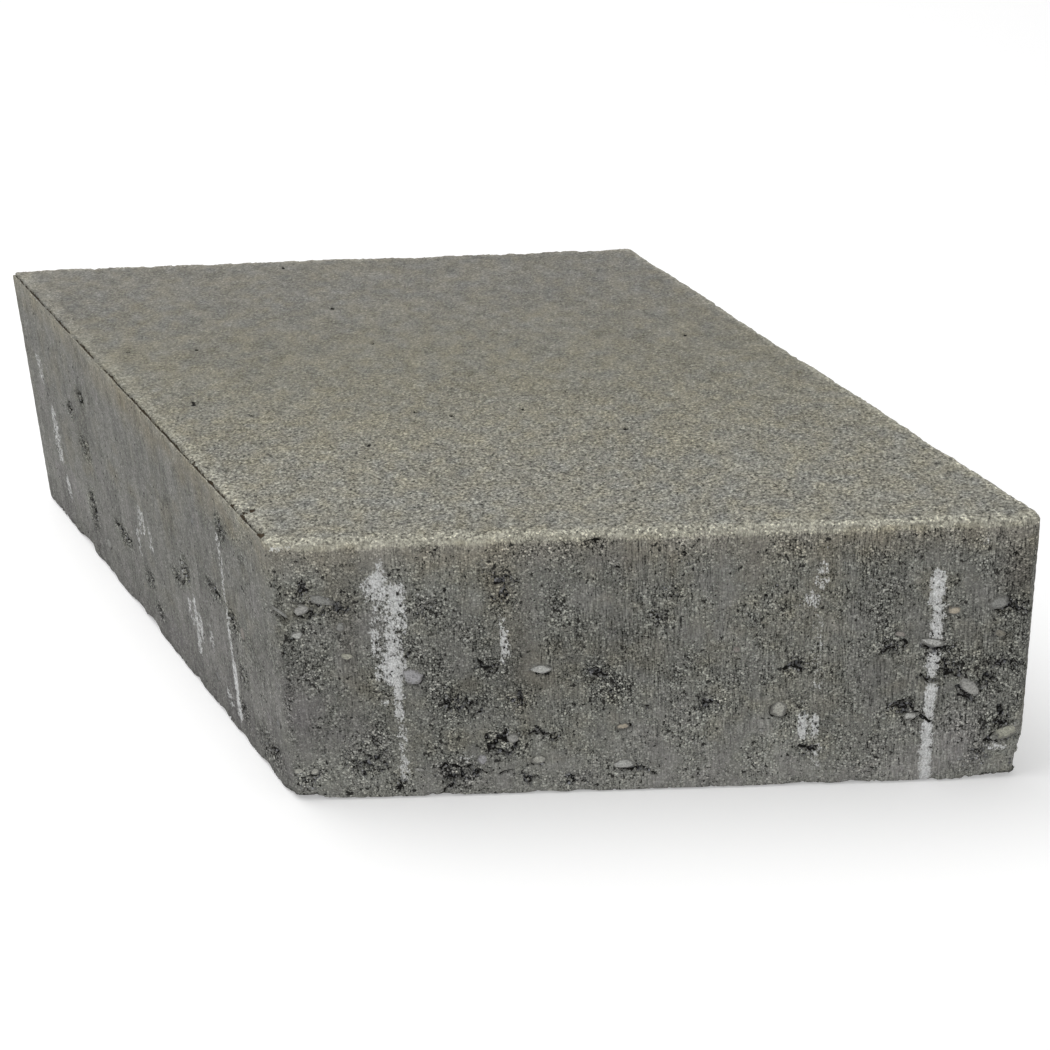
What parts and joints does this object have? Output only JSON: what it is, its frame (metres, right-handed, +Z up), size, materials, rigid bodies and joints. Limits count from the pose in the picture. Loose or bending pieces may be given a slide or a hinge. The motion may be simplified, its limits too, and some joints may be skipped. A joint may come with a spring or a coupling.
{
  "type": "rhombic concrete paving stone",
  "caption": "Solid concrete paving stone with a rhombic plan, upright sides and lightly rounded edges.",
  "frame": {"origin": "middle of the bed face, the underside that the stone is laid on", "axes": "+Z up through the wearing face, -Y out of the front side, +X along the front side towards its acute corner"},
  "size_m": [0.2836, 0.1662, 0.08],
  "materials": {
    "concrete": "fine granular dry-cast concrete, matt"
  },
  "bodies": {
    "root": {"paving_stone": "concrete"}
  },
  "joints": []
}
